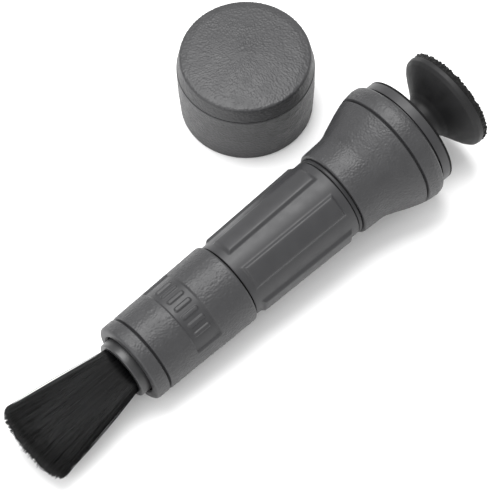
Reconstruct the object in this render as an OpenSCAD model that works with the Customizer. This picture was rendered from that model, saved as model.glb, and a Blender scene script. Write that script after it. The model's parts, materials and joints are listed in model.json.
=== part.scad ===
// Lens cleaning pen with a twist-out dust brush, a flexible cleaning tip and a loose cap.
//
// Every piece of the pen is drawn standing up, with the pen's axis on Z, the brush below
// and the cleaning tip above. Heights are counted from the seam between the nose ring and
// the barrel. lay_pen() then lays the pen on its side, resting on the nose ring and the
// rim band, and stand_cap() stands the cap beside it, mouth down.

/* [Barrel] */
// Length of the barrel, from the nose seam to the grip
barrel_len = 23.7; // [21:0.1:26]
// Radius of the barrel at the nose seam
barrel_r_front = 9.2; // [9:0.05:9.6]
// Radius of the barrel next to the grip
barrel_r_back = 9.57; // [9.4:0.05:9.9]
// Length of the nose ring
nose_len = 3.45; // [3:0.05:5]
// Radius of the nose ring's front edge
nose_r_front = 7.6; // [7.4:0.05:8]

/* [Label panel] */
// Start of the sunken panel, from the nose seam
panel_start = 8.0; // [7:0.1:11]
// Length of the panel along the pen
panel_len = 6.4; // [4:0.1:9]
// Angle that the panel covers round the barrel
panel_angle = 133; // [60:1:160]
// Angle of the panel's middle, from the pen's upper side
panel_turn = 8.5; // [-30:0.1:30]
// Depth of the panel
panel_depth = 0.4; // [0.2:0.05:0.6]
// Number of plain raised ribs in the panel
rib_count = 7; // [3:1:9]

/* [Twist grip] */
// Length of the grip sleeve
grip_len = 28.45; // [27:0.05:29]
// Radius between the pads, next to the barrel
grip_r_front = 8.87; // [8.8:0.01:9]
// Radius between the pads, next to the bell
grip_r_back = 9.45; // [9.3:0.01:9.6]
// Number of raised pads
pad_count = 6; // [4:1:8]
// Height of the pads
pad_height = 0.66; // [0.4:0.02:0.9]
// Width of a pad's top
pad_width = 4.9; // [3:0.1:5.5]
// Angle of the first pad's middle, from the pen's upper side
pad_turn = 39; // [0:0.1:60]

/* [Bell and rim] */
// Radius of the bell's neck
bell_r_neck = 10.13; // [10:0.01:10.4]
// Radius of the bell at the rim band
bell_r_mouth = 13.55; // [13:0.05:13.7]
// Largest radius of the rim band
band_r = 14.05; // [13.8:0.05:14.4]
// Radius of the spigot that the cap slides over
spigot_r = 12.7; // [12.5:0.05:12.9]

/* [Cleaning tip] */
// Radius of the tip's neck
neck_r = 4.4; // [4:0.1:4.8]
// Radius of the tip's cup
cup_r = 11.4; // [10:0.1:11.6]
// Thickness of the cleaning pad
pad_thick = 1.4; // [0.8:0.1:1.6]

/* [Brush] */
// How far the brush slides back into the barrel
brush_travel = 27; // [26:0.5:27]
// Turn of the grip that draws the brush in
twist_angle = 270; // [240:10:300]
// Radius of the ferrule
ferrule_r = 6.6; // [6.4:0.05:6.7]
// Radius of the round hole that the bristles are set in
tuft_r = 5.2; // [4.8:0.1:5.4]
// Half width of the brush at its cut end
fan_half_width = 9.35; // [8:0.05:9.4]
// Half thickness of the brush at its cut end
fan_half_thick = 3.1; // [2.5:0.1:4]
// Angle of the fan about the pen's axis, from lying flat
fan_turn = 18; // [0:1:30]
// Length of the bristles in front of the ferrule
bristle_len = 25.3; // [22:0.1:25.4]

/* [Cap] */
// Largest outer radius of the cap, at its seam
cap_r = 14.85; // [14.4:0.05:15]
// Outer radius of the cap's mouth
cap_mouth_r = 14.35; // [14.2:0.05:14.8]
// Outer radius of the cap's top, below its rounded edge
cap_top_r = 14.1; // [13.9:0.05:14.6]
// Height of the seam under the cap's top
cap_seam = 14.55; // [14:0.05:16]
// Height of the cap at its middle
cap_height = 19.4; // [19:0.1:20]
// Place of the cap's middle along the pen, from the nose seam
cap_along = 60.9; // [50:0.1:64]
// Distance from the pen's axis to the cap's middle
cap_aside = 35.6; // [31:0.1:40]

/* [Hidden] */
$fn = 96;
eps = 0.01;
bond = 0.5;                          // how far a solid reaches into one that it is joined to

// Stations along the pen
grip_start = barrel_len + 0.1;
grip_end = grip_start + grip_len;
friction_start = grip_end + 0.1;
friction_end = friction_start + 1.05;
bell_start = friction_end;
bell_kink = bell_start + 6.2;
bell_end = bell_start + 14.7;
band_end = bell_end + 4.6;
spigot_end = band_end + 2.6;
base_start = spigot_end - 0.9;
base_r = spigot_r - 0.5;             // recess in the spigot's face, under the rubber disc
base_end = spigot_end + 0.4;
cup_front = spigot_end + 10.9;
pad_front = cup_front + pad_thick;

// Radii of the tubes that nest in one another
clearance = 0.08;                    // running clearance between turning tubes
shell_bore_r = 7.7;                  // bore of the barrel, and outside of the guide tube
wide_bore_r = 6.9;                   // bore of the guide tube in front, round the ferrule
narrow_r = 6.8;                      // outside of the guide tube behind its step
narrow_bore_r = 6.0;                 // bore of the guide tube behind its step
cam_bore_r = narrow_r + clearance;   // bore of the cam sleeve's end rings
cam_r = 7.9;                         // outside of the cam sleeve, glued in the grip
bell_bore_r = 8.3;                   // bore of the bell, round the cam sleeve
socket_r = 10.9;                     // neck of the tip socket, glued in the bell

// Brush, at rest fully out
ferrule_front = -5.5;
ferrule_back = -1.8;
ferrule_hole = 2.6;
bristle_end = ferrule_front - bristle_len;
rod_r = 3.2;
pin_r = 1.2;
pin_gap = 0.3;
pin_start = 29.8;                    // height of the cam pins with the brush out
pin_end = pin_start + brush_travel;
carriage_len = 5;
rod_end = pin_start - pin_r - 0.2;   // the rod stops short of the pins
carriage_r = narrow_bore_r - clearance;
step_start = 26.2;
step_end = 27.2;

// Cam: its slots turn by twist_angle over brush_travel
slot_low = pin_start - pin_r - pin_gap;
slot_high = pin_end + pin_r + pin_gap;
slot_len = slot_high - slot_low;
cam_ring = 1.0;
cam_turn = twist_angle * slot_len / brush_travel;
slot_half_angle = 19.5;
bell_web_start = slot_high + 1.7;
bell_web_end = bell_web_start + 2.6;

// Resting place: the pen lies on the nose ring and on the rim band
nose_rest = -1.95;
band_rest = band_end - 1.7;
rest_tilt = atan((band_r - barrel_r_front) / (band_rest - nose_rest));
rest_height = barrel_r_front * cos(rest_tilt) - nose_rest * sin(rest_tilt);
fan_top = fan_half_width * sin(fan_turn) + fan_half_thick * cos(fan_turn);
low_x = bristle_end * cos(rest_tilt) - fan_top * sin(rest_tilt);
high_x = pad_front * cos(rest_tilt) + cup_r * sin(rest_tilt);
pen_x = -(low_x + high_x) / 2;
pen_y = -(cap_aside + cap_r - band_r) / 2;

grey = [0.36, 0.36, 0.37];
satin_grey = [0.33, 0.33, 0.34];
dark_grey = [0.2, 0.2, 0.21];
black = [0.05, 0.05, 0.055];

// Points of an arc round c from angle a to angle b
function arc(c, r, a, b, n = 8) =
    [for (i = [0:n]) c + r * [cos(a + (b - a) * i / n), sin(a + (b - a) * i / n)]];

module lay_pen() {
    translate([pen_x, pen_y, rest_height])
        rotate([0, 90 - rest_tilt, 0])
            rotate([0, 0, 180])
                children();
}

module stand_cap() {
    translate([pen_x + cap_along, pen_y + cap_aside, 0])
        children();
}

// Tube between two heights
module tube(r_out, r_in, z0, z1) {
    translate([0, 0, z0])
        difference() {
            cylinder(r = r_out, h = z1 - z0);
            translate([0, 0, -1])
                cylinder(r = r_in, h = z1 - z0 + 2);
        }
}

module disc(r, z0, z1) {
    translate([0, 0, z0])
        cylinder(r = r, h = z1 - z0);
}

// Part of a ring between two heights, middle at turn, spread degrees wide
module ring_sector(r_in, r_out, z0, z1, turn, spread) {
    rotate([0, 0, turn - spread / 2])
        rotate_extrude(angle = spread)
            polygon([[r_in, z0], [r_out, z0], [r_out, z1], [r_in, z1]]);
}

// ---- Body ----

function barrel_r(u) = barrel_r_front + (barrel_r_back - barrel_r_front) * u / barrel_len;

module barrel() {
    seam = 0.35;
    round_r = 0.7;
    rib_margin = 1.2;
    rib_step = 14;
    rib_angle = 6;
    panel_end = panel_start + panel_len;
    floor_r = barrel_r(panel_start) - panel_depth;
    color(grey) lay_pen() {
        difference() {
            rotate_extrude()
                polygon(concat(
                    [[shell_bore_r, 0], [barrel_r_front - seam, 0], [barrel_r(seam), seam]],
                    arc([barrel_r_back - round_r, barrel_len - round_r], round_r, 0, 90),
                    [[shell_bore_r, barrel_len]]));
            ring_sector(floor_r, barrel_r_back + 1, panel_start, panel_end,
                        panel_turn, panel_angle);
        }
        for (i = [0:rib_count - 1])
            ring_sector(floor_r - bond, floor_r + panel_depth * 0.8,
                        panel_start + rib_margin, panel_end - rib_margin,
                        panel_turn + (i - (rib_count - 1) / 2) * rib_step, rib_angle);
    }
}

module nose_ring() {
    lip = 0.4;
    round_r = 1.5;
    color(grey) lay_pen()
        rotate_extrude()
            polygon(concat(
                [[wide_bore_r, -nose_len + lip], [wide_bore_r + lip, -nose_len]],
                [[nose_r_front, -nose_len]],
                arc([barrel_r_front - round_r, nose_rest], round_r, -75, 0, 10),
                [[barrel_r_front, -lip], [barrel_r_front - lip, 0],
                 [shell_bore_r, 0], [shell_bore_r, 0.8], [wide_bore_r, 0.8]]));
}

module guide_tube() {
    slot_width = 2 * (pin_r + clearance);
    color(dark_grey) lay_pen()
        difference() {
            rotate_extrude()
                polygon([[wide_bore_r, 0.8], [shell_bore_r, 0.8], [shell_bore_r, step_end],
                         [narrow_r, step_end], [narrow_r, bell_web_end],
                         [narrow_bore_r, bell_web_end], [narrow_bore_r, step_start],
                         [wide_bore_r, step_start]]);
            // Two straight slots, ended by half circles, that keep the carriage from turning
            for (side = [0, 180])
                rotate([0, 0, side])
                    translate([narrow_bore_r - 1, 0, 0])
                        rotate([0, 90, 0]) {
                            for (z = [pin_start - pin_gap, pin_end + pin_gap])
                                translate([-z, 0, 0])
                                    cylinder(d = slot_width, h = 3);
                            translate([-pin_end - pin_gap, -slot_width / 2, 0])
                                cube([brush_travel + 2 * pin_gap, slot_width, 3]);
                        }
        }
}

module friction_ring() {
    height = friction_end - friction_start;
    round_r = height / 2;
    color(black) lay_pen()
        rotate_extrude()
            polygon(concat(
                [[bell_bore_r, friction_start]],
                arc([grip_r_back + 0.22 - round_r, friction_start + round_r], round_r, -90, 90, 12),
                [[bell_bore_r, friction_end]]));
}

module bell_housing() {
    round_r = 0.7;
    neck_slope = 0.2;
    mouth_lip = 0.35;
    color(grey) lay_pen()
        rotate_extrude()
            polygon(concat(
                [[bell_bore_r, bell_start]],
                arc([bell_r_neck - round_r, bell_start + round_r], round_r, -90, 0),
                [[bell_r_neck + neck_slope, bell_kink - 0.9],
                 [bell_r_neck + 0.32, bell_kink],
                 [bell_r_neck + 0.95, bell_kink + 1.7],
                 [bell_r_neck + 1.52, bell_kink + 3.1],
                 [bell_r_neck + 2.1, bell_kink + 4.5],
                 [bell_r_neck + 2.58, bell_kink + 5.8],
                 [bell_r_neck + 2.98, bell_kink + 7.1],
                 [bell_r_mouth, bell_end - mouth_lip], [bell_r_mouth - mouth_lip, bell_end],
                 [socket_r, bell_end], [socket_r, bell_web_end + 0.4],
                 [narrow_r, bell_web_end + 0.4], [narrow_r, bell_web_start],
                 [bell_bore_r, bell_web_start]]));
}

module rim_band() {
    lip = 0.35;
    low_r = band_r - 0.35;
    crown = band_rest;
    color(grey) lay_pen()
        rotate_extrude()
            polygon(concat(
                [[socket_r, bell_end], [low_r - lip, bell_end], [low_r, bell_end + lip]],
                [[band_r, crown]],
                arc([band_r - 1.1, crown + 0.4], 1.1, 0, 75, 6),
                [[band_r - 0.85, band_end], [socket_r, band_end]]));
}

module tip_socket() {
    neck_bore = 9.4;
    web_start = band_end - 0.8;
    round_r = 0.12;
    neck_start = bell_web_end + 0.8;
    color(satin_grey) lay_pen()
        rotate_extrude()
            polygon(concat(
                [[neck_bore, neck_start], [socket_r, neck_start], [socket_r, band_end],
                 [spigot_r, band_end]],
                arc([spigot_r - round_r, spigot_end - round_r], round_r, 0, 90),
                [[base_r, spigot_end], [base_r, base_start],
                 [neck_r + 0.1, base_start], [neck_r + 0.1, web_start],
                 [neck_bore, web_start]]));
}

module tip_base() {
    round_r = 0.15;
    color(black) lay_pen()
        rotate_extrude()
            polygon(concat(
                [[neck_r + 0.1, base_start], [base_r, base_start], [base_r, spigot_end],
                 [spigot_r, spigot_end]],
                arc([spigot_r - round_r, base_end - round_r], round_r, 0, 90),
                [[neck_r + 0.1, base_end]]));
}

// Stiff peg that the soft tip is moulded on; its flange is glued behind the socket's web
module tip_plug() {
    web_start = band_end - 0.8;
    color(dark_grey) lay_pen() {
        disc(7.2, web_start - 1.6, web_start);
        disc(neck_r + 0.1, web_start - eps, band_end + 0.15);
        disc(2.4, web_start - 4.5, web_start - 1.6 + eps);
    }
}

// ---- Twist grip ----

function grip_r(u) = grip_r_front + (grip_r_back - grip_r_front) * (u - grip_start) / grip_len;

module grip_sleeve() {
    end_gap = 1.85;                  // bare sleeve beyond each end of the pads
    chamfer = 0.6;
    side_slope = 0.6;                // run of the pads' sides for a height of 1
    pad_low = grip_start + end_gap;
    pad_high = grip_end - 2;
    cam_from = slot_low - cam_ring;
    top_r = grip_r_back + pad_height;
    front_bore_r = shell_bore_r + clearance;
    color(satin_grey) lay_pen() {
        rotate_extrude()
            polygon([[front_bore_r, grip_start], [grip_r_front - 0.2, grip_start],
                     [grip_r_front, grip_start + 0.2], [grip_r_back, grip_end - 0.2],
                     [grip_r_back - 0.2, grip_end], [cam_r, grip_end],
                     [cam_r, cam_from], [front_bore_r, cam_from]]);
        intersection() {
            // Ring as high as the pads, with sloping ends
            rotate_extrude()
                polygon([[cam_r + bond, pad_low],
                         [grip_r(pad_low), pad_low],
                         [grip_r(pad_low) + pad_height, pad_low + chamfer],
                         [grip_r(pad_high) + pad_height, pad_high - chamfer],
                         [grip_r(pad_high), pad_high],
                         [cam_r + bond, pad_high]]);
            // Prisms with sloping sides that leave the grooves between the pads
            for (i = [0:pad_count - 1])
                rotate([0, 0, pad_turn + i * 360 / pad_count])
                    translate([0, 0, grip_start])
                        linear_extrude(height = grip_len)
                            polygon([[cam_r, -pad_width / 2 - (top_r - cam_r) * side_slope],
                                     [top_r + 1, -pad_width / 2 + side_slope],
                                     [top_r + 1, pad_width / 2 - side_slope],
                                     [cam_r, pad_width / 2 + (top_r - cam_r) * side_slope]]);
        }
    }
}

// Sleeve glued in the grip, with two helical slots that drive the cam pins
module cam_sleeve() {
    thin_r_out = cam_r - 0.15;
    thin_r_in = cam_bore_r + 0.12;
    wedge = cam_r + 2;
    color(black) lay_pen() {
        tube(cam_r, cam_bore_r, slot_low - cam_ring, slot_low);
        tube(cam_r, cam_bore_r, slot_high, slot_high + cam_ring);
        // At the height of the pins at rest, the slots line up with the guide tube's
        rotate([0, 0, cam_turn * (pin_start - slot_low) / slot_len])
            translate([0, 0, slot_low - eps])
                linear_extrude(height = slot_len + 2 * eps, twist = cam_turn, slices = 36,
                               segments = 2)
                    difference() {
                        circle(r = thin_r_out, $fn = 32);
                        circle(r = thin_r_in, $fn = 32);
                        for (side = [0, 180])
                            rotate(side)
                                polygon([[0, 0],
                                         wedge * [cos(slot_half_angle), -sin(slot_half_angle)],
                                         wedge * [cos(slot_half_angle), sin(slot_half_angle)]]);
                    }
    }
}

// ---- Brush ----

module brush_carriage() {
    front = pin_start - carriage_len / 2;
    color(dark_grey) lay_pen()
        difference() {
            disc(carriage_r, front, front + carriage_len);
            disc(rod_r, front - 1, rod_end);
            translate([-10, 0, pin_start])
                rotate([0, 90, 0])
                    cylinder(r = pin_r, h = 20);
        }
}

module cam_pins() {
    pin_top = cam_r - 0.25;
    color("silver") lay_pen()
        translate([-pin_top, 0, pin_start])
            rotate([0, 90, 0])
                cylinder(r = pin_r, h = 2 * pin_top);
}

module brush_rod() {
    color(dark_grey) lay_pen()
        disc(rod_r, ferrule_back - 1, rod_end);
}

module brush_ferrule() {
    lip_r = 0.6;
    hole_end = ferrule_front + ferrule_hole;
    color(dark_grey) lay_pen()
        rotate_extrude()
            polygon(concat(
                [[tuft_r, hole_end], [tuft_r, ferrule_front + lip_r]],
                arc([tuft_r + lip_r, ferrule_front + lip_r], lip_r, 180, 270, 5),
                arc([ferrule_r - lip_r, ferrule_front + lip_r], lip_r, -90, 0, 5),
                [[ferrule_r, ferrule_back], [rod_r, ferrule_back],
                 [rod_r, ferrule_back - 1], [0, ferrule_back - 1], [0, hole_end]]));
}

// Round tuft that flattens into a fan: a cone cut by one outline across and one through
module bristles() {
    root = ferrule_front + ferrule_hole;
    clear_r = tuft_r + 2;            // the outlines stay clear of the round root
    edge_end = bristle_end + 1.6;
    mid_end = bristle_end + 0.4;
    color(black) lay_pen() rotate([0, 0, fan_turn])
        intersection() {
            rotate_extrude()
                polygon([[0, root], [tuft_r, root], [tuft_r, ferrule_front],
                         [fan_half_width + 3, bristle_end - 1], [0, bristle_end - 1]]);
            rotate([90, 0, 90])
                linear_extrude(height = 6 * tuft_r, center = true)
                    polygon([[-clear_r, root + 1], [-tuft_r - 0.05, ferrule_front],
                             [-fan_half_width, edge_end], [-fan_half_width * 0.5, mid_end],
                             [0, bristle_end],
                             [fan_half_width * 0.5, mid_end], [fan_half_width, edge_end],
                             [tuft_r + 0.05, ferrule_front], [clear_r, root + 1]]);
            rotate([90, 0, 0])
                linear_extrude(height = 4 * fan_half_width, center = true)
                    polygon([[-clear_r, root + 1], [-tuft_r + 0.6, ferrule_front],
                             [-fan_half_thick, bristle_end - 1],
                             [fan_half_thick, bristle_end - 1],
                             [tuft_r - 0.6, ferrule_front], [clear_r, root + 1]]);
        }
}

// ---- Cleaning tip ----

module tip_trumpet() {
    pivot = base_end + 1.5;          // the neck bends about this height
    flare = cup_front - 6.2;
    color(black) lay_pen() {
        rotate_extrude()
            polygon([[0, pivot], [neck_r, pivot],
                     [neck_r, flare - 1.3], [neck_r + 0.2, flare],
                     [neck_r + 1.4, flare + 1.2], [neck_r + 3.4, flare + 2.3],
                     [neck_r + 5.0, flare + 3.1], [cup_r - 0.5, flare + 3.8],
                     [cup_r, flare + 4.4], [cup_r, cup_front], [0, cup_front]]);
        // Round foot of the neck, in the hole of the tip base
        translate([0, 0, pivot])
            sphere(r = neck_r - 0.05);
    }
}

module tip_pad() {
    edge = 0.3;
    color(black) lay_pen()
        rotate_extrude()
            polygon([[0, cup_front], [cup_r - 0.15, cup_front],
                     [cup_r - 0.15, pad_front - edge], [cup_r - 0.15 - edge, pad_front],
                     [0, pad_front]]);
}

// ---- Cap ----

cap_bore_r = spigot_r + 0.1;
cap_seat_r = cap_bore_r + 0.3;       // seat of the lid's plug, above the bore
plug_low = cap_seam - 1.2;
cap_depth = pad_front - band_end + 0.1;
cup_top = cap_depth + 1.8;
lip_r = 11.8;
cup_wall = 0.8;

module cap_shell() {
    rim = 0.3;
    seam = 0.25;
    color(grey) stand_cap()
        rotate_extrude()
            polygon([[cap_bore_r + rim, 0], [cap_mouth_r - rim, 0], [cap_mouth_r, rim],
                     [cap_r - 0.12, cap_seam / 2],
                     [cap_r, cap_seam - seam], [cap_r - seam, cap_seam],
                     [cap_seat_r, cap_seam], [cap_seat_r, plug_low - 0.1],
                     [cap_bore_r, plug_low - 0.1], [cap_bore_r, rim]]);
}

module cap_top() {
    seam = 0.2;
    round_r = 0.8;
    edge_drop = 1.05;                // the crowned top rises this much from its edge
    shoulder = cap_height - edge_drop - round_r;
    color(grey) stand_cap()
        rotate_extrude()
            polygon(concat(
                [[cap_seat_r, plug_low], [cap_seat_r, cap_seam],
                 [cap_r - 0.1 - seam, cap_seam], [cap_r - 0.1, cap_seam + seam]],
                arc([cap_top_r - round_r, shoulder], round_r, 4, 80),
                [[cap_r * 0.82, cap_height - 0.7 * edge_drop],
                 [cap_r * 0.47, cap_height - 0.35 * edge_drop], [0, cap_height],
                 [0, cup_top], [lip_r, cup_top], [lip_r, plug_low]]));
}

module compound_cup() {
    color(dark_grey) stand_cap()
        difference() {
            disc(lip_r, cap_depth, cup_top);
            disc(lip_r - cup_wall, cap_depth - 1, cup_top - cup_wall);
        }
}

module cleaning_compound() {
    color(black) stand_cap()
        disc(lip_r - cup_wall, cap_depth, cup_top - cup_wall);
}

barrel();
nose_ring();
guide_tube();
friction_ring();
bell_housing();
rim_band();
tip_socket();
tip_base();
tip_plug();
grip_sleeve();
cam_sleeve();
brush_carriage();
cam_pins();
brush_rod();
brush_ferrule();
bristles();
tip_trumpet();
tip_pad();
cap_shell();
cap_top();
compound_cup();
cleaning_compound();
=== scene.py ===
"""Looks of a lens cleaning pen: grained shells, fluted grip, bristle brush, rubber tip and cap.

Lengths named below are in millimetres along or across the pen, as on a drawing, and MM turns
them into the scene's metres. The pen's own axis comes from the frame's twist joint.
"""
import json
import math

import bmesh
import bpy
import numpy as np
from mathutils import Matrix, Vector


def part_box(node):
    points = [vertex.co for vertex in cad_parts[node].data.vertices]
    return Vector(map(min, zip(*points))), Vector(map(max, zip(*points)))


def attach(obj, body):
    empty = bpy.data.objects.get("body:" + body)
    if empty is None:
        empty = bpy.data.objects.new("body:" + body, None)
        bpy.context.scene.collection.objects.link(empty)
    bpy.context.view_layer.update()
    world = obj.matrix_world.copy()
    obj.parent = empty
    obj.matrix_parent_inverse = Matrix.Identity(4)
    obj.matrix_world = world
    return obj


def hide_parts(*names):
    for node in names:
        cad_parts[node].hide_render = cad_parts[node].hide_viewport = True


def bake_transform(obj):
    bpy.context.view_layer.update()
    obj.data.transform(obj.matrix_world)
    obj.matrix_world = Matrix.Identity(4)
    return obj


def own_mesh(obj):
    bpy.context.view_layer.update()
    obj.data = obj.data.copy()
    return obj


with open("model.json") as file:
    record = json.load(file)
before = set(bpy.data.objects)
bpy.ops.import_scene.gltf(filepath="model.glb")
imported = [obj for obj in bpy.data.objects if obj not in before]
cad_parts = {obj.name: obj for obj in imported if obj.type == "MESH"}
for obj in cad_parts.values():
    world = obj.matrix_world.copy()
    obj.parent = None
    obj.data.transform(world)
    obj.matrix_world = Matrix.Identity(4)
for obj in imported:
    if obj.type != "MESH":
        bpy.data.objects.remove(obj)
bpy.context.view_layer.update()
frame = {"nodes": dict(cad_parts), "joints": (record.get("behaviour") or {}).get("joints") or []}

MM = 0.001
TWIST = next(j for j in frame["joints"] if j["name"] == "grip_twist")
AXIS = np.array(TWIST["axis"], float)
AXIS /= np.linalg.norm(AXIS)
TWIST_AT = 37.0                     # the twist joint's place along the pen
PEN_ZERO = np.array(TWIST["pos_m"], float) - AXIS * TWIST_AT * MM
SIDE = np.array([0.0, -1.0, 0.0])   # the pen's side that faces the camera
UPPER = np.cross(SIDE, AXIS)
UPPER *= np.sign(UPPER[2])

low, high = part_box("cap_shell")
CAP_MIDDLE = np.array([(low[0] + high[0]) / 2, (low[1] + high[1]) / 2, low[2]])

# Stations along the pen, counted from the seam between the nose ring and the barrel
NOSE_FRONT = -3.45
BARREL_END = 23.6
GRIP_START = 23.9
GRIP_END = 52.25
RING_START = 52.35
BELL_START = 53.4
BELL_KINK = 58.8                    # the bell's neck ends and its flare begins
BELL_STEP = 63.0                    # the bell's bore widens here
BELL_END = 68.1
WEB_START = 71.9                    # wall across the tip socket
BAND_END = 72.7
RECESS_FLOOR = 74.35                # the rubber disc sits in this recess
SOCKET_END = 75.3
BASE_END = 75.7
FLARE_START = 78.6
CUP_FRONT = 86.2
PAD_FRONT = 87.6
FERRULE_FRONT = -5.5
FERRULE_BACK = -1.8
TUFT_HOLE_END = -2.9
BRISTLE_ROOT = -3.2
BRISTLE_END = -30.8

# Radii of the pen's pieces
BORE = 7.75                         # inside of the barrel
NOSE_BORE = 6.95
NOSE_TUBE_R, NOSE_TUBE_END = 7.69, 0.75     # the nose ring's tube reaches into the barrel
BARREL_R_FRONT, BARREL_R_BACK = 9.2, 9.57
SEAM_FLOOR_R = 8.5                  # bottom of the seam between the nose ring and the barrel
GRIP_R_FRONT, GRIP_R_BACK = 8.87, 9.45      # between the pads
FRICTION_R = 9.5
BELL_BORE = 8.35
BELL_NECK_R, BELL_MOUTH_R = 10.13, 13.56
MOUTH_BORE = 10.95                  # of the bell and the rim band, round the tip socket
RIM_SEAM_R = 12.9                   # bottom of the seam between the bell and the rim band
BAND_R = 14.04
SOCKET_R, SOCKET_BORE = 10.9, 9.5
SPIGOT_R = 12.7
RECESS_R = 12.2
DISC_HOLE_R = 4.5
FERRULE_R = 6.6
TUFT_HOLE_R = 5.2
ROD_R = 3.2
TIP_NECK_R = 4.4
CUP_R = 11.4


# ---------------------------------------------------------------- noise

def hashed(ix, iy, iz, salt):
    """Repeatable random numbers from 0 to 1 for whole-number grid places."""
    h = (ix.astype(np.int64) * 73856093) ^ (iy.astype(np.int64) * 19349663)
    h ^= (iz.astype(np.int64) * 83492791) ^ (salt * 2654435761)
    h &= 0xFFFFFFFF
    h = ((h ^ (h >> 15)) * 2246822519) & 0xFFFFFFFF
    h = ((h ^ (h >> 13)) * 3266489917) & 0xFFFFFFFF
    return ((h ^ (h >> 16)) & 0xFFFFFF) / float(0xFFFFFF)


def value_noise(points, size, salt):
    """Smooth noise from -1 to 1 whose bumps are about size apart."""
    p = points / size
    cell = np.floor(p).astype(np.int64)
    t = p - cell
    t = t * t * (3 - 2 * t)
    total = np.zeros(len(points))
    for dx in (0, 1):
        for dy in (0, 1):
            for dz in (0, 1):
                w = (t[:, 0] if dx else 1 - t[:, 0])
                w = w * (t[:, 1] if dy else 1 - t[:, 1])
                w = w * (t[:, 2] if dz else 1 - t[:, 2])
                corner = hashed(cell[:, 0] + dx, cell[:, 1] + dy, cell[:, 2] + dz, salt)
                total += w * corner
    return total * 2 - 1


def cell_creases(points, size, salt):
    """0 in the creases between rounded cells about size across, 1 on top of the cells."""
    crease_width = 0.45             # as a share of a cell
    far = 9.0                       # more than any distance to a cell's own point
    p = points / size
    cell = np.floor(p).astype(np.int64)
    nearest = np.full(len(points), far)
    second = np.full(len(points), far)
    for dx in (-1, 0, 1):
        for dy in (-1, 0, 1):
            for dz in (-1, 0, 1):
                cx, cy, cz = cell[:, 0] + dx, cell[:, 1] + dy, cell[:, 2] + dz
                fx = cx + hashed(cx, cy, cz, salt)
                fy = cy + hashed(cx, cy, cz, salt + 1)
                fz = cz + hashed(cx, cy, cz, salt + 2)
                d = np.sqrt((p[:, 0] - fx) ** 2 + (p[:, 1] - fy) ** 2 + (p[:, 2] - fz) ** 2)
                closer = d < nearest
                second = np.where(closer, nearest, np.minimum(second, d))
                nearest = np.where(closer, d, nearest)
    return np.clip((second - nearest) / crease_width, 0, 1)


GRAIN_SIZE = 0.54                   # millimetres across one pebble of the moulded grain
GRAIN_DEPTH = 0.085
WARP_SIZE, WARP_REACH = 1.3, 0.3    # slow bends that keep the pebbles out of rows
FINE_SIZE, FINE_SHARE = 0.3, 0.3
SWELL_SIZE, SWELL_SHARE = 1.9, 0.2


def leather(points):
    """Height of a moulded leather grain, in millimetres, at points in millimetres."""
    warp = [value_noise(points, WARP_SIZE, salt) for salt in (11, 12, 13)]
    warp = np.stack(warp, axis=1) * WARP_REACH
    pebbles = cell_creases(points + warp, GRAIN_SIZE, 21) ** 0.6
    fine = value_noise(points, FINE_SIZE, 31) * FINE_SHARE
    swell = value_noise(points, SWELL_SIZE, 41) * SWELL_SHARE
    return (pebbles - 0.75 + fine + swell) * GRAIN_DEPTH


# ---------------------------------------------------------------- turned shapes

def smooth_step(x, low_edge, high_edge):
    """0 below low_edge, 1 above high_edge, with an S-shaped rise between."""
    t = np.clip((x - low_edge) / (high_edge - low_edge), 0, 1)
    return t * t * (3 - 2 * t)


def fillet(corners, closed=True, steps=6):
    """Outline through corners (along, radius, round), each corner rounded to its round.

    A rounding takes up at most nearly half of each side, and a nearly straight corner stays.
    """
    most_of_half, straight = 0.48, 0.02
    count = len(corners)
    outline = []
    for i, (a, r, rounding) in enumerate(corners):
        here = np.array([a, r], float)
        inside = closed or 0 < i < count - 1
        if rounding <= 0 or not inside:
            outline.append(here)
            continue
        before = np.array(corners[i - 1][:2], float) - here
        after = np.array(corners[(i + 1) % count][:2], float) - here
        len_b, len_a = np.linalg.norm(before), np.linalg.norm(after)
        before, after = before / len_b, after / len_a
        opening = math.acos(np.clip(before @ after, -1, 1))
        if math.pi - opening < straight:
            outline.append(here)
            continue
        reach = min(rounding / math.tan(opening / 2), len_b * most_of_half,
                    len_a * most_of_half)
        p0, p1 = here + before * reach, here + after * reach
        for k in range(steps + 1):
            t = k / steps
            outline.append((1 - t) ** 2 * p0 + 2 * t * (1 - t) * here + t * t * p1)
    return outline


def refine(outline, step, closed=True, where=None):
    """Adds points so that no stretch is longer than step (only where where(a, r) says so)."""
    out = []
    count = len(outline)
    for i in range(count if closed else count - 1):
        p, q = outline[i], outline[(i + 1) % count]
        pieces = max(1, int(math.ceil(np.linalg.norm(q - p) / step)))
        if where is not None and not where(*((p + q) / 2)):
            pieces = 1
        out += [p + (q - p) * k / pieces for k in range(pieces)]
    if not closed:
        out.append(outline[-1])
    return np.array(out)


def on_pen(along, radius, turn):
    """Points on the pen: turn 0 is the upper side and grows toward the camera side."""
    along, radius, turn = np.broadcast_arrays(along, radius, turn)
    across = np.cos(turn)[..., None] * UPPER + np.sin(turn)[..., None] * SIDE
    return PEN_ZERO + MM * (along[..., None] * AXIS + radius[..., None] * across)


def on_cap(along, radius, turn):
    """Points on the cap: along is the height above its rim."""
    along, radius, turn = np.broadcast_arrays(along, radius, turn)
    around = np.stack([np.cos(turn), np.sin(turn), np.zeros_like(turn)], axis=-1)
    around = around * radius[..., None]
    around[..., 2] = along
    return CAP_MIDDLE + MM * around


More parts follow.
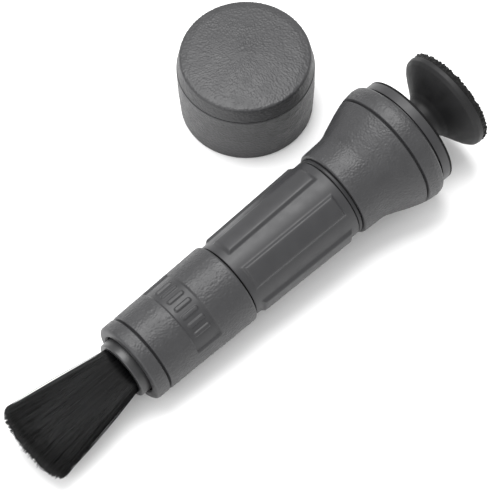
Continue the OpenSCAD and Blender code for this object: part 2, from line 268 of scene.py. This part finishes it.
def mesh_object(name, points, faces, materials, face_materials=None):
    """Smooth-shaded mesh in the scene, with a material number for each face if given."""
    mesh = bpy.data.meshes.new(name)
    mesh.from_pydata([tuple(p) for p in points], [], faces)
    for m in materials:
        mesh.materials.append(m)
    if face_materials is not None:
        mesh.polygons.foreach_set("material_index", np.array(face_materials, np.int32))
    mesh.polygons.foreach_set("use_smooth", np.full(len(mesh.polygons), True))
    mesh.update()
    obj = bpy.data.objects.new(name, mesh)
    bpy.context.scene.collection.objects.link(obj)
    return obj


def turned(name, outline, place, materials, segments=256, closed=True, relief=None, pick=None):
    """Turns an outline of (along, radius) round the axis that place() gives.

    The outline runs toward larger along on the outside. relief(along, radius, turn) moves
    points out along the surface's normal, in millimetres. pick(along, turn) gives a face's
    material. An open outline starts and ends on the axis.
    """
    rows = len(outline)
    turn = np.linspace(0, 2 * math.pi, segments, endpoint=False)
    along = np.repeat(outline[:, 0:1], segments, axis=1)
    radius = np.repeat(outline[:, 1:2], segments, axis=1)
    angle = np.repeat(turn[None, :], rows, axis=0)
    if relief is not None:
        nxt, prv = np.roll(outline, -1, axis=0), np.roll(outline, 1, axis=0)
        if not closed:
            nxt[-1], prv[0] = outline[-1], outline[0]
        tangent = nxt - prv
        tangent /= np.maximum(np.linalg.norm(tangent, axis=1, keepdims=True), 1e-9)
        amount = relief(along, radius, angle)
        if not closed:
            amount[0, :] = amount[0, 0]
            amount[-1, :] = amount[-1, 0]
        along = along - tangent[:, 1:2] * amount
        radius = radius + tangent[:, 0:1] * amount
    points = place(along, radius, angle).reshape(-1, 3)
    faces, chosen = [], []
    row_range = range(rows) if closed else range(rows - 1)
    mid_turn = turn + math.pi / segments
    for i in row_range:
        j = (i + 1) % rows
        a0, a1 = i * segments, j * segments
        mid_along = (outline[i][0] + outline[j][0]) / 2
        picks = pick(mid_along, mid_turn) if pick else None
        for k in range(segments):
            n = (k + 1) % segments
            faces.append((a0 + k, a0 + n, a1 + n, a1 + k))
            if pick:
                chosen.append(int(picks[k]))
    obj = mesh_object(name, points, faces, materials, chosen if pick else None)
    tidy(obj)
    return obj


def tidy(obj):
    """Welds the poles and turns all faces outward."""
    bm = bmesh.new()
    bm.from_mesh(obj.data)
    bmesh.ops.remove_doubles(bm, verts=bm.verts, dist=1e-7)
    bmesh.ops.recalc_face_normals(bm, faces=bm.faces)
    bm.to_mesh(obj.data)
    bm.free()
    obj.data.update()


# ---------------------------------------------------------------- materials

def material(name, colour, roughness, spread=0.08, patch=2.5, bump=0.0, bump_size=0.2,
             bump_depth=0.02, specular=0.5, sheen=0.0, rough_spread=0.06, stretch=None):
    """Plastic, rubber or fibre: colour and roughness drift over patches, with fine relief.

    patch, bump_size and bump_depth are in millimetres.
    """
    m = bpy.data.materials.new(name)
    m.use_nodes = True
    nodes, links = m.node_tree.nodes, m.node_tree.links
    shader = nodes["Principled BSDF"]
    shader.inputs["Specular IOR Level"].default_value = specular
    shader.inputs["Sheen Weight"].default_value = sheen
    shader.inputs["Sheen Roughness"].default_value = 0.5
    coords = nodes.new("ShaderNodeTexCoord")
    where = coords.outputs["Object"]
    if stretch is not None:
        mapping = nodes.new("ShaderNodeMapping")
        mapping.inputs["Scale"].default_value = stretch
        links.new(where, mapping.inputs["Vector"])
        where = mapping.outputs["Vector"]

    drift = nodes.new("ShaderNodeTexNoise")
    drift.inputs["Scale"].default_value = 1 / (patch * MM)
    drift.inputs["Detail"].default_value = 4
    links.new(where, drift.inputs["Vector"])

    drift_low, drift_high = 0.3, 0.7    # most of the noise lies between these
    tint = nodes.new("ShaderNodeValToRGB")
    tint.color_ramp.elements[0].position = drift_low
    tint.color_ramp.elements[0].color = [c * (1 - spread) for c in colour] + [1]
    tint.color_ramp.elements[1].position = drift_high
    tint.color_ramp.elements[1].color = [c * (1 + spread) for c in colour] + [1]
    links.new(drift.outputs["Fac"], tint.inputs["Fac"])
    links.new(tint.outputs["Color"], shader.inputs["Base Color"])

    rough = nodes.new("ShaderNodeMapRange")
    rough.inputs["From Min"].default_value = drift_low
    rough.inputs["From Max"].default_value = drift_high
    rough.inputs["To Min"].default_value = roughness - rough_spread
    rough.inputs["To Max"].default_value = roughness + rough_spread
    links.new(drift.outputs["Fac"], rough.inputs["Value"])
    links.new(rough.outputs["Result"], shader.inputs["Roughness"])

    if bump > 0:
        fine = nodes.new("ShaderNodeTexNoise")
        fine.inputs["Scale"].default_value = 1 / (bump_size * MM)
        fine.inputs["Detail"].default_value = 3
        links.new(where, fine.inputs["Vector"])
        relief = nodes.new("ShaderNodeBump")
        relief.inputs["Strength"].default_value = bump
        relief.inputs["Distance"].default_value = bump_depth * MM
        links.new(fine.outputs["Fac"], relief.inputs["Height"])
        links.new(relief.outputs["Normal"], shader.inputs["Normal"])
    return m


GRAINED = material("grained_grey", (0.027, 0.027, 0.0285), 0.45, bump=0.6, bump_size=0.16,
                   specular=0.42)
SMOOTH = material("smooth_grey", (0.025, 0.025, 0.0265), 0.44, spread=0.05, bump=0.25,
                  bump_size=0.12, bump_depth=0.01, specular=0.36)
GLOSS = material("gloss_black", (0.014, 0.014, 0.015), 0.42, spread=0.1, specular=0.3,
                 rough_spread=0.03)
DARK = material("dark_plastic", (0.018, 0.018, 0.019), 0.38, spread=0.08, bump=0.2,
                bump_size=0.12, bump_depth=0.01)
STEEL = material("pin_steel", (0.55, 0.55, 0.56), 0.3, spread=0.05, bump=0.2, bump_size=0.08)
STEEL.node_tree.nodes["Principled BSDF"].inputs["Metallic"].default_value = 1
BRISTLE = material("bristle_black", (0.0045, 0.0045, 0.0047), 0.36, spread=0.85, patch=0.4,
                   specular=0.27, rough_spread=0.12, stretch=(0.06, 1, 1))
RUBBER = material("tip_rubber", (0.008, 0.008, 0.0085), 0.55, spread=0.12, bump=0.25,
                  bump_size=0.1, bump_depth=0.01, specular=0.28, rough_spread=0.08)
DISC_RUBBER = material("disc_rubber", (0.004, 0.004, 0.0042), 0.6, spread=0.2, bump=0.2,
                       bump_size=0.1, bump_depth=0.01, specular=0.1)
FELT = material("tip_felt", (0.006, 0.006, 0.006), 0.95, spread=0.4, patch=0.5, bump=0.9,
                bump_size=0.12, bump_depth=0.06, specular=0.15, sheen=0.15)
CARBON = material("compound_carbon", (0.006, 0.006, 0.006), 0.9, spread=0.35, patch=0.8, bump=0.7,
                  bump_size=0.25, bump_depth=0.05, specular=0.2)


def dress(node, mat):
    """Gives a CAD node its material."""
    mesh = frame["nodes"][node].data
    mesh.materials.clear()
    mesh.materials.append(mat)


for node, mat in {
    "guide_tube": DARK, "cam_sleeve": DARK, "brush_carriage": DARK, "brush_rod": DARK,
    "cam_pins": STEEL, "tip_plug": DARK, "compound_cup": DARK, "cleaning_compound": CARBON,
    "barrel": GRAINED, "nose_ring": GRAINED, "bell_housing": GRAINED, "rim_band": GRAINED,
    "cap_shell": GRAINED, "cap_top": GRAINED, "grip_sleeve": SMOOTH, "tip_socket": SMOOTH,
    "friction_ring": GLOSS, "tip_base": DISC_RUBBER, "tip_trumpet": RUBBER, "tip_pad": FELT,
    "brush_ferrule": DARK, "bristles": BRISTLE,
}.items():
    dress(node, mat)


def finish_piece(obj, body, node):
    """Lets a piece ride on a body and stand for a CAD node."""
    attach(obj, body)
    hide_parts(node)


# ---------------------------------------------------------------- shells of the pen

FINE = 0.16                         # step of the mesh where it carries grain


def grain_relief(place, from_along, to_along, least_radius, edge=0.35):
    """Relief function: leather grain outside least_radius, between two stations.

    The grain fades out over edge at both stations. It has no far station where to_along
    is None.
    """
    def relief(along, radius, turn):
        points = place(along, radius, turn).reshape(-1, 3) / MM
        height = leather(points).reshape(along.shape)
        mask = smooth_step(along, from_along, from_along + edge)
        if to_along is not None:
            mask = mask * (1 - smooth_step(along, to_along - edge, to_along))
        return height * mask * (radius > least_radius)
    return relief


# Barrel, with its sunken panel and the plain ribs in it
PANEL_START, PANEL_END = 8.0, 14.4
PANEL_TURN, PANEL_HALF = math.radians(8.5), math.radians(66.5)
PANEL_DEPTH = 0.42
PANEL_CORNER, PANEL_EDGE = 0.45, 0.3        # its corners' radius and its walls' run
RIB_COUNT, RIB_STEP, RIB_ANGLE = 7, math.radians(14), math.radians(6)
RIB_MARGIN = 1.2
RIB_HEIGHT = 0.33
RIB_CORNER, RIB_EDGE = 0.35, 0.24
BARREL_MEAN = 9.37                  # radius at which the panel's width is measured
BARREL_SKIN = 9.0                   # only the barrel's outside lies beyond this radius


def inside_box(along, across, along_half, across_half, corner, edge):
    """1 inside a rounded rectangle, 0 outside, with a soft edge, all in millimetres."""
    qx = np.abs(along) - (along_half - corner)
    qy = np.abs(across) - (across_half - corner)
    outside = np.hypot(np.maximum(qx, 0), np.maximum(qy, 0)) - corner
    distance = outside + np.minimum(np.maximum(qx, qy), 0)
    return 1 - smooth_step(distance, -edge / 2, edge / 2)


def wrap(angle):
    """The same angle, within half a turn of zero."""
    return (angle + math.pi) % (2 * math.pi) - math.pi


def panel_mask(along, turn):
    """1 in the sunken panel, 0 outside it."""
    across = wrap(turn - PANEL_TURN) * BARREL_MEAN
    return inside_box(along - (PANEL_START + PANEL_END) / 2, across,
                      (PANEL_END - PANEL_START) / 2, PANEL_HALF * BARREL_MEAN,
                      PANEL_CORNER, PANEL_EDGE)


def rib_mask(along, turn):
    """1 on the plain ribs in the panel, 0 elsewhere."""
    ribs = np.zeros_like(along)
    for i in range(RIB_COUNT):
        middle = PANEL_TURN + (i - (RIB_COUNT - 1) / 2) * RIB_STEP
        across = wrap(turn - middle) * BARREL_MEAN
        ribs += inside_box(along - (PANEL_START + PANEL_END) / 2, across,
                           (PANEL_END - PANEL_START) / 2 - RIB_MARGIN,
                           RIB_ANGLE * BARREL_MEAN / 2, RIB_CORNER, RIB_EDGE)
    return ribs


barrel_grain = grain_relief(on_pen, 0.2, BARREL_END - 0.5, BARREL_SKIN)


def barrel_relief(along, radius, turn):
    """Grain outside the panel, and the sunken panel with its ribs."""
    panel = panel_mask(along, turn)
    grain = barrel_grain(along, radius, turn) * (1 - panel)
    sunken = PANEL_DEPTH * panel - RIB_HEIGHT * rib_mask(along, turn)
    return (grain - sunken) * (radius > BARREL_SKIN)


barrel_outline = refine(fillet([
    (0.0, BORE, 0), (0.0, SEAM_FLOOR_R, 0.05), (0.12, SEAM_FLOOR_R + 0.1, 0.05),
    (0.35, BARREL_R_FRONT, 0.2), (BARREL_END, BARREL_R_BACK, 0.7),
    (BARREL_END, BORE, 0)]), FINE, where=lambda a, r: r > 8.8)
barrel = turned("barrel_shell", barrel_outline, on_pen, [GRAINED, SMOOTH], segments=420,
                relief=barrel_relief,
                pick=lambda a, turn: panel_mask(np.full_like(turn, a), turn) > 0.5)
finish_piece(barrel, "pen_body", "barrel")

# Nose ring: its front corner is well rounded, and its tube reaches into the barrel
nose_outline = refine(fillet([
    (NOSE_FRONT + 0.4, NOSE_BORE, 0.05), (NOSE_FRONT, NOSE_BORE + 0.35, 0.12),
    (NOSE_FRONT, BARREL_R_FRONT, 1.5), (-0.3, BARREL_R_FRONT, 0.2),
    (-0.12, SEAM_FLOOR_R + 0.1, 0.05), (0.0, SEAM_FLOOR_R, 0.05), (0.0, NOSE_TUBE_R, 0),
    (NOSE_TUBE_END, NOSE_TUBE_R, 0), (NOSE_TUBE_END, NOSE_BORE, 0)]),
    FINE, where=lambda a, r: r > 7.5)
nose = turned("nose_ring_shell", nose_outline, on_pen, [GRAINED], segments=400,
              relief=grain_relief(on_pen, NOSE_FRONT + 0.3, -0.3, 7.7))
finish_piece(nose, "pen_body", "nose_ring")

# Bell: a neck, a kink, then the flare to the rim
bell_outline = refine(fillet([
    (BELL_START, BELL_BORE, 0), (BELL_START, BELL_NECK_R, 0.6),
    (BELL_KINK, BELL_NECK_R + 0.23, 1.2), (BELL_KINK + 1.1, BELL_NECK_R + 0.45, 2.0),
    (BELL_KINK + 3.9, BELL_NECK_R + 1.57, 4), (BELL_KINK + 6.4, BELL_NECK_R + 2.55, 4),
    (BELL_KINK + 8.2, BELL_NECK_R + 3.15, 3), (BELL_END - 0.3, BELL_MOUTH_R, 0.2),
    (BELL_END - 0.1, RIM_SEAM_R + 0.05, 0.05), (BELL_END, RIM_SEAM_R, 0),
    (BELL_END, MOUTH_BORE, 0), (BELL_STEP, MOUTH_BORE, 0), (BELL_STEP, BELL_BORE, 0)]),
    FINE, where=lambda a, r: r > 10.0)
bell = turned("bell_shell", bell_outline, on_pen, [GRAINED], segments=512,
              relief=grain_relief(on_pen, BELL_START + 0.2, BELL_END - 0.3, 9.95))
finish_piece(bell, "pen_body", "bell_housing")

# Rim band: the pen rests on its widest ring
band_outline = refine(fillet([
    (BELL_END, MOUTH_BORE, 0), (BELL_END, RIM_SEAM_R, 0),
    (BELL_END + 0.12, RIM_SEAM_R + 0.05, 0.05), (BELL_END + 0.35, BAND_R - 0.32, 0.25),
    (BAND_END - 1.7, BAND_R, 1.2), (BAND_END - 0.35, BAND_R - 0.19, 0.8),
    (BAND_END, BAND_R - 0.94, 0.3), (BAND_END, MOUTH_BORE, 0)]),
    FINE, where=lambda a, r: r > 13.0)
band = turned("rim_band_shell", band_outline, on_pen, [GRAINED], segments=540,
              relief=grain_relief(on_pen, BELL_END + 0.2, BAND_END - 0.2, 13.2))
finish_piece(band, "pen_body", "rim_band")

# Tip socket: a groove next to the rim band, then the spigot that the cap slides over
GROOVE_R = SPIGOT_R - 0.5
socket_outline = refine(fillet([
    (BAND_END - 6, SOCKET_BORE, 0), (BAND_END - 6, SOCKET_R, 0), (BAND_END, SOCKET_R, 0.05),
    (BAND_END, GROOVE_R, 0.02), (BAND_END + 0.5, GROOVE_R + 0.05, 0.05),
    (BAND_END + 0.6, SPIGOT_R, 0.08), (SOCKET_END, SPIGOT_R, 0.08),
    (SOCKET_END, RECESS_R, 0.02), (RECESS_FLOOR, RECESS_R, 0.05),
    (RECESS_FLOOR, DISC_HOLE_R + 0.05, 0), (WEB_START, DISC_HOLE_R + 0.05, 0),
    (WEB_START, SOCKET_BORE, 0)]), 0.5)
socket = turned("tip_socket_ring", socket_outline, on_pen, [SMOOTH], segments=256)
finish_piece(socket, "pen_body", "tip_socket")

# Rubber disc: sits in the socket's recess, flush with the spigot, slightly dished
base_outline = refine(fillet([
    (RECESS_FLOOR, DISC_HOLE_R, 0), (RECESS_FLOOR, RECESS_R - 0.1, 0),
    (SOCKET_END + 0.01, RECESS_R - 0.1, 0), (SOCKET_END + 0.01, SPIGOT_R, 0.02),
    (BASE_END + 0.1, SPIGOT_R, 0.12), (BASE_END - 0.15, 8, 1.5),
    (BASE_END, DISC_HOLE_R + 0.4, 0.3), (BASE_END, DISC_HOLE_R, 0)]), 0.5)
base = turned("tip_base_disc", base_outline, on_pen, [DISC_RUBBER], segments=256)
finish_piece(base, "pen_body", "tip_base")

# Friction ring: shows as a glossy bead between the grip and the bell
ring_outline = refine(fillet([
    (RING_START, BELL_BORE, 0), (RING_START, FRICTION_R, 0.5), (BELL_START, FRICTION_R, 0.5),
    (BELL_START, BELL_BORE, 0)]), 0.2)
ring = turned("friction_ring_gloss", ring_outline, on_pen, [GLOSS], segments=256)
finish_piece(ring, "pen_body", "friction_ring")


# ---------------------------------------------------------------- twist grip

PAD_COUNT = 6
PAD_TURN = math.radians(39)
PAD_LOW, PAD_HIGH = 25.65, 50.25
PAD_HALF = 2.45
PAD_HEIGHT = 0.62
PAD_SLOPE = 0.42                    # run of the sloping sides
PAD_END_SLOPE = 0.5
GRIP_SKIN = 8.7                     # only the grip's outside lies beyond this radius


def ramp(x, low_edge, high_edge, soft=0.12):
    """0 below low_edge, 1 above high_edge, straight between, with slightly rounded breaks."""
    t = (x - low_edge) / (high_edge - low_edge)
    s = soft / (high_edge - low_edge)
    rounded_low = s * np.logaddexp(0, t / s)
    rounded_high = s * np.logaddexp(0, (t - 1) / s)
    return rounded_low - rounded_high


def grip_relief(along, radius, turn):
    """Raised pads with sloping sides and ends."""
    step = 2 * math.pi / PAD_COUNT
    nearest = (turn - PAD_TURN + step / 2) % step - step / 2
    across = np.abs(nearest) * (radius + PAD_HEIGHT)
    side = 1 - ramp(across, PAD_HALF, PAD_HALF + PAD_SLOPE)
    ends = ramp(along, PAD_LOW, PAD_LOW + PAD_END_SLOPE)
    ends = ends * (1 - ramp(along, PAD_HIGH - PAD_END_SLOPE, PAD_HIGH))
    return PAD_HEIGHT * np.minimum(side, ends) * (radius > GRIP_SKIN)


grip_outline = refine(fillet([
    (GRIP_START, BORE + 0.05, 0), (GRIP_START, GRIP_R_FRONT, 0.25),
    (GRIP_END, GRIP_R_BACK, 0.25), (GRIP_END, BORE + 0.17, 0)]),
    FINE, where=lambda a, r: r > GRIP_SKIN)
grip = turned("grip_fluted", grip_outline, on_pen, [SMOOTH], segments=480, relief=grip_relief)
finish_piece(grip, "grip", "grip_sleeve")


# ---------------------------------------------------------------- brush

# Ferrule: a collar with the hole for the tuft in front and a shallow one for the rod behind
ROD_SEAT = FERRULE_BACK - 0.8
ferrule_outline = refine(fillet([
    (TUFT_HOLE_END, TUFT_HOLE_R, 0), (FERRULE_FRONT, TUFT_HOLE_R, 0.4),
    (FERRULE_FRONT, FERRULE_R, 0.45), (FERRULE_BACK, FERRULE_R, 0.15), (FERRULE_BACK, ROD_R, 0),
    (ROD_SEAT, ROD_R, 0), (ROD_SEAT, 0.0, 0)], closed=False), 0.3, closed=False)
ferrule_outline = np.vstack([[[TUFT_HOLE_END, 0.0]], ferrule_outline])
ferrule = turned("ferrule_collar", ferrule_outline, on_pen, [DARK], segments=192, closed=False)
finish_piece(ferrule, "brush", "brush_ferrule")

BRISTLES = 3600
BRISTLE_R = 0.072
BEND_STATIONS = 8
TUFT_R = 5.05
FAN_HALF_WIDTH, FAN_HALF_THICK = 9.25, 2.95
FAN_SQUARE = 0.65                   # 0 leaves the fan's cut end oval, 1 makes it a rectangle
EDGE_SETBACK = 2.3                  # the fan's edges end this far short of BRISTLE_END
END_DOME = 1.9                      # its middle reaches this much further than its edges
END_SCATTER = 0.38
CLUMPS = 260
CLUMP_LEAN = (0.05, 0.4)            # least and greatest share of the way to the clump
TIP_SCATTER = 0.1
STRAY_SHARE, STRAY_SCATTER = 0.05, 0.35
STRAND_BOW = 0.22
SPLAY = 1.12                        # above 1, the fan opens slowly at first
FAN_TURN = math.radians(18)         # the fan's camera side hangs lower
FAN_WIDE = math.cos(FAN_TURN) * SIDE - math.sin(FAN_TURN) * UPPER
FAN_THIN = math.cos(FAN_TURN) * UPPER + math.sin(FAN_TURN) * SIDE


def brush_strands():
    """Centre lines of the bristles, as (strand, station, [along, across, up]) arrays."""
    rng = np.random.default_rng(7)
    # Even spread over a disc: the golden angle
    i = np.arange(BRISTLES) + 0.5
    reach = np.sqrt(i / BRISTLES)
    spin = i * math.pi * (3 - math.sqrt(5))
    x, y = reach * np.cos(spin), reach * np.sin(spin)
    # The disc grows toward a rounded rectangle at the cut end
    side = np.maximum(np.abs(x), np.abs(y)) / np.maximum(np.hypot(x, y), 1e-6)
    grow = (1 - FAN_SQUARE) + FAN_SQUARE / np.maximum(side, 0.5)
    root = np.stack([x * TUFT_R, y * TUFT_R], axis=1)
    tip = np.stack([x * grow * FAN_HALF_WIDTH, y * grow * FAN_HALF_THICK], axis=1)
    limit = np.array([FAN_HALF_WIDTH, FAN_HALF_THICK])
    tip = np.clip(tip, -limit, limit)
    # Tips lean toward the nearest clump; a gap across the fan's width counts three times
    centres = tip[rng.choice(BRISTLES, CLUMPS, replace=False)]
    gap = np.linalg.norm((tip[:, None, :] - centres[None, :, :]) / limit * [3, 1], axis=2)
    own = centres[np.argmin(gap, axis=1)]
    tip = tip + (own - tip) * rng.uniform(*CLUMP_LEAN, (BRISTLES, 1))
    tip = tip + rng.normal(0, TIP_SCATTER, (BRISTLES, 2))
    stray = rng.random(BRISTLES) < STRAY_SHARE
    tip[stray] += rng.normal(0, STRAY_SCATTER, (int(stray.sum()), 2))
    tip = np.clip(tip, -limit, limit)
    dome = END_DOME * (1 - (tip[:, 0] / FAN_HALF_WIDTH) ** 4)
    end = BRISTLE_END + EDGE_SETBACK - dome + rng.normal(0, END_SCATTER, BRISTLES)
    bow = rng.normal(0, STRAND_BOW, (BRISTLES, 2))
    t = np.linspace(0, 1, BEND_STATIONS)
    ease = t ** SPLAY
    across = root[:, None, :] + (tip - root)[:, None, :] * ease[None, :, None]
    across = across + bow[:, None, :] * np.sin(math.pi * t)[None, :, None]
    across = np.clip(across, -limit, limit)
    along = BRISTLE_ROOT + (end[:, None] - BRISTLE_ROOT) * t[None, :]
    return np.concatenate([along[:, :, None], across], axis=2)


def strand_mesh(name, strands, thick, mat, taper=0.9, sides=3):
    """Thin closed prisms along strands given as (along, across, up) in pen millimetres."""
    count, stations, _ = strands.shape
    centre = PEN_ZERO + MM * (strands[..., 0:1] * AXIS + strands[..., 1:2] * FAN_WIDE
                              + strands[..., 2:3] * FAN_THIN)
    heading = np.gradient(centre, axis=1)
    heading /= np.maximum(np.linalg.norm(heading, axis=2, keepdims=True), 1e-12)
    # Two directions square to each strand, from one that no strand runs along
    first = np.cross(heading, np.broadcast_to(UPPER + 0.37 * SIDE, heading.shape))
    first /= np.maximum(np.linalg.norm(first, axis=2, keepdims=True), 1e-12)
    second = np.cross(heading, first)
    width = thick * MM * np.linspace(1, taper, stations)[None, :, None, None]
    turn = np.arange(sides) * 2 * math.pi / sides
    rings = centre[:, :, None, :] + width * (
        np.cos(turn)[None, None, :, None] * first[:, :, None, :]
        + np.sin(turn)[None, None, :, None] * second[:, :, None, :])
    points = rings.reshape(-1, 3)
    faces = []
    for s in range(count):
        start = s * stations * sides
        for k in range(stations - 1):
            a, b = start + k * sides, start + (k + 1) * sides
            for v in range(sides):
                n = (v + 1) % sides
                faces.append((a + v, b + v, b + n, a + n))
        last = start + (stations - 1) * sides
        faces.append(tuple(start + v for v in range(sides)))
        faces.append(tuple(last + v for v in reversed(range(sides))))
    return mesh_object(name, points, faces, [mat])


bristles = strand_mesh("bristle_fan", brush_strands(), BRISTLE_R, BRISTLE)
finish_piece(bristles, "brush", "bristles")
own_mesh(bristles)


# ---------------------------------------------------------------- cleaning tip

# Trumpet: a straight neck that starts inside the rubber disc, then the flare to the cup
TIP_FOOT = BASE_END - 0.7
trumpet_outline = refine(fillet([
    (TIP_FOOT, 0.0, 0), (TIP_FOOT, TIP_NECK_R, 0), (FLARE_START, TIP_NECK_R, 1.5),
    (FLARE_START + 1.4, TIP_NECK_R + 0.35, 2.0), (FLARE_START + 2.6, TIP_NECK_R + 1.4, 2.5),
    (FLARE_START + 3.8, TIP_NECK_R + 3.1, 2.5), (FLARE_START + 4.9, TIP_NECK_R + 4.75, 2),
    (FLARE_START + 5.9, CUP_R - 0.85, 1), (FLARE_START + 6.6, CUP_R - 0.15, 0.4),
    (CUP_FRONT, CUP_R, 0.2), (CUP_FRONT - 0.02, 0.0, 0)], closed=False), 0.35, closed=False)
trumpet = turned("tip_trumpet_rubber", trumpet_outline, on_pen, [RUBBER], segments=320,
                 closed=False)
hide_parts("tip_trumpet")
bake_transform(trumpet)


TUFT_SIZE, TUFT_HEIGHT = 0.75, 0.3
FUZZ_SIZE, FUZZ_HEIGHT = 0.6, 0.12
FELT_SINK = 0.18                    # keeps the tufts' tops near the pad's outline


def felt_relief(along, radius, turn):
    """Fine tufts on the pad, none on the face glued to the cup."""
    points = on_pen(along, radius, turn).reshape(-1, 3) / MM
    tufts = cell_creases(points, TUFT_SIZE, 51) * TUFT_HEIGHT
    tufts = tufts + value_noise(points, FUZZ_SIZE, 61) * FUZZ_HEIGHT
    return (tufts.reshape(along.shape) - FELT_SINK) * (along > CUP_FRONT + 0.05)


pad_outline = refine(fillet([
    (CUP_FRONT, 0.0, 0), (CUP_FRONT, CUP_R - 0.2, 0.05), (PAD_FRONT - 0.3, CUP_R - 0.1, 0.2),
    (PAD_FRONT, CUP_R - 0.4, 0.3), (PAD_FRONT, 0.0, 0)], closed=False), 0.2, closed=False)
pad = turned("tip_pad_felt", pad_outline, on_pen, [FELT], segments=400, closed=False,
             relief=felt_relief)
finish_piece(pad, "tip", "tip_pad")


# ---------------------------------------------------------------- cap

CAP_R = 14.85                       # at the seam; the mouth and the lid's top are narrower
CAP_MOUTH_R, CAP_TOP_R = 14.35, 14.1
CAP_BORE = 12.8
CAP_SEAT = 13.1                     # the lid's plug is glued in this wider bore
PLUG_BORE = 11.8

# Heights above the cap's mouth
CAP_SWELL = 7.3                     # the wall swells slightly about here
SEAT_START = 13.25
CAP_SEAM = 14.55
SEAM_HALF = 0.08                    # half of the seam's gap
LID_UNDER = 16.6
LID_EDGE = 18.35
CAP_HEIGHT = 19.4

# The wall, up to the seam
shell_outline = refine(fillet([
    (0.0, CAP_BORE, 0.3), (0.0, CAP_MOUTH_R, 0.4), (CAP_SWELL, CAP_R - 0.12, 6),
    (CAP_SEAM - SEAM_HALF, CAP_R, 0.25), (CAP_SEAM - SEAM_HALF, CAP_SEAT, 0),
    (SEAT_START, CAP_SEAT, 0), (SEAT_START, CAP_BORE, 0)]),
    FINE, where=lambda a, r: r > 14.0)
shell = turned("cap_wall", shell_outline, on_cap, [GRAINED], segments=540,
               relief=grain_relief(on_cap, 0.1, CAP_SEAM - 0.2, 14.0, edge=0.4))
finish_piece(shell, "cap", "cap_shell")

# The lid: a crowned disc with a plug below it
PLUG_R = CAP_SEAT - 0.02
PLUG_END = SEAT_START + 0.1
top_outline = refine(fillet([
    (LID_UNDER, 0.0, 0), (LID_UNDER, PLUG_BORE, 0), (PLUG_END, PLUG_BORE, 0),
    (PLUG_END, PLUG_R, 0), (CAP_SEAM + SEAM_HALF, PLUG_R, 0),
    (CAP_SEAM + SEAM_HALF, CAP_R - 0.12, 0.2), (LID_EDGE, CAP_TOP_R, 0.8),
    (LID_EDGE + 0.35, 12.2, 6), (LID_EDGE + 0.65, 7.0, 6), (CAP_HEIGHT - 0.1, 0.0, 0)],
    closed=False),
    0.17, closed=False, where=lambda a, r: a > CAP_SEAM + 0.1 and (r > 13.2 or a > 17.2))
top = turned("cap_lid", top_outline, on_cap, [GRAINED], segments=540, closed=False,
             relief=grain_relief(on_cap, CAP_SEAM + 0.2, None, 0.4, edge=0.4))
finish_piece(top, "cap", "cap_top")


# ---------------------------------------------------------------- studio

def studio():
    """White paper floor, an even white surround and two soft lights."""
    floor_half = 2.5
    mesh = bpy.data.meshes.new("floor")
    mesh.from_pydata([(-floor_half, -floor_half, 0), (floor_half, -floor_half, 0),
                      (floor_half, floor_half, 0), (-floor_half, floor_half, 0)], [],
                     [(0, 1, 2, 3)])
    paper = material("floor_paper", (0.9, 0.9, 0.9), 0.9, spread=0.004, patch=40, specular=0.1)
    mesh.materials.append(paper)
    floor = bpy.data.objects.new("floor", mesh)
    bpy.context.scene.collection.objects.link(floor)

    world = bpy.data.worlds.new("studio")
    bpy.context.scene.world = world
    world.use_nodes = True
    sky = world.node_tree.nodes["Background"]
    sky.inputs["Color"].default_value = (1, 1, 1, 1)
    sky.inputs["Strength"].default_value = 1.0

    def softbox(name, place, size, power, target):
        light = bpy.data.lights.new(name, "AREA")
        light.shape = "RECTANGLE"
        light.size, light.size_y = size
        light.energy = power
        obj = bpy.data.objects.new(name, light)
        obj.location = place
        obj.rotation_euler = (Vector(target) - Vector(place)).to_track_quat("-Z", "Y").to_euler()
        bpy.context.scene.collection.objects.link(obj)

    middle = PEN_ZERO + AXIS * TWIST_AT * MM
    softbox("key", place=middle + np.array([0.06, 0.22, 0.74]), size=(0.62, 0.5), power=7.5,
            target=middle)
    softbox("brush_end", place=PEN_ZERO + np.array([-0.5, -0.08, 0.38]), size=(0.45, 0.45),
            power=1.7, target=PEN_ZERO)


def camera():
    """The photo's view: from above, on the brush's side, through a long lens."""
    data = bpy.data.cameras.new("camera")
    data.sensor_width = 36.0
    data.lens = 233.2
    data.clip_start = 0.01
    look_at = PEN_ZERO + np.array([36.49, 7.49, 0.0]) * MM
    look_at[2] = 0.0                # on the floor
    azimuth, elevation, roll = (math.radians(a) for a in (-40.23, 59.5, -2.08))
    distance = 0.6858
    toward = Vector((math.cos(elevation) * math.sin(azimuth),
                     -math.cos(elevation) * math.cos(azimuth), math.sin(elevation)))
    right = Vector((0, 0, 1)).cross(toward).normalized()
    up = toward.cross(right)
    right, up = (right * math.cos(roll) + up * math.sin(roll),
                 up * math.cos(roll) - right * math.sin(roll))
    obj = bpy.data.objects.new("camera", data)
    obj.matrix_world = (Matrix.Translation(Vector(look_at) + toward * distance)
                        @ Matrix((right, up, toward)).transposed().to_4x4())
    bpy.context.scene.collection.objects.link(obj)
    bpy.context.scene.camera = obj


studio()
camera()
bpy.context.scene.view_settings.view_transform = "Standard"
